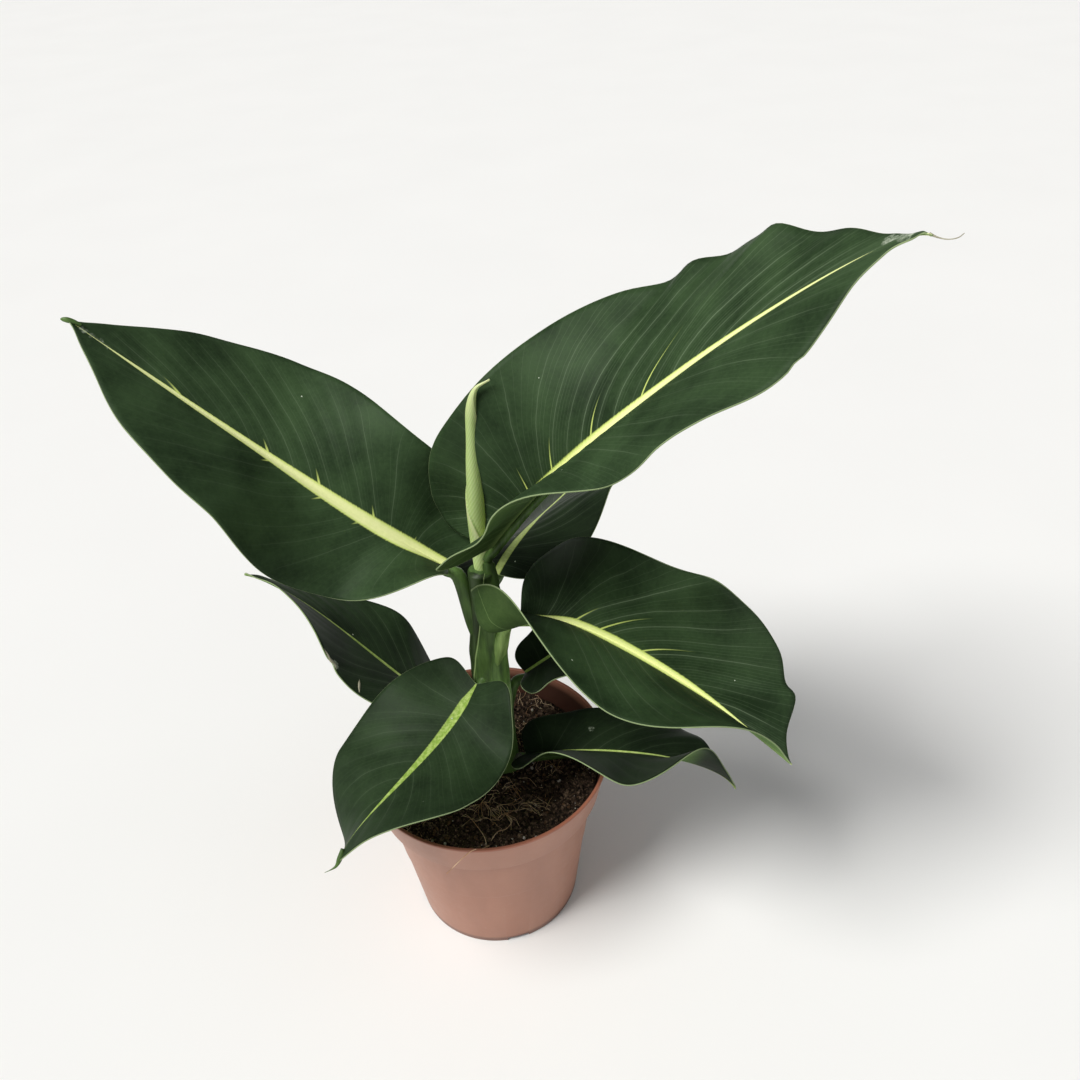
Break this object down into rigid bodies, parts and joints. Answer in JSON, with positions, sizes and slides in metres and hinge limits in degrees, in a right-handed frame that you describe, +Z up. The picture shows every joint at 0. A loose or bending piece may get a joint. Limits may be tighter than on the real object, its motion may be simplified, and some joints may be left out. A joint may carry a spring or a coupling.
{
  "type": "potted dieffenbachia",
  "caption": "Young dieffenbachia with broad dark green leaves and bright yellow-green midribs, growing in peaty soil in a round tapered terracotta-coloured plastic nursery pot.",
  "frame": {"origin": "The middle of the pot's underside, on the surface it stands on.", "axes": "+Z is up. +X is to the right and +Y is away from the viewer, as in the picture."},
  "size_m": [0.2884, 0.2016, 0.3714],
  "materials": {
    "pot": "satin",
    "soil": "matte",
    "stem": "satin",
    "new_leaf": "satin",
    "leaf": "satin"
  },
  "bodies": {
    "root": {"pot": "pot", "soil": "soil", "stem": "stem", "new_leaf": "new_leaf", "leaf_low_right": "leaf", "leaf_low_left": "leaf", "leaf_small_back": "leaf", "leaf_front_left": "leaf", "leaf_middle_right": "leaf", "leaf_back": "leaf", "leaf_upper_left": "leaf", "leaf_upper_right": "leaf"}
  },
  "joints": []
}
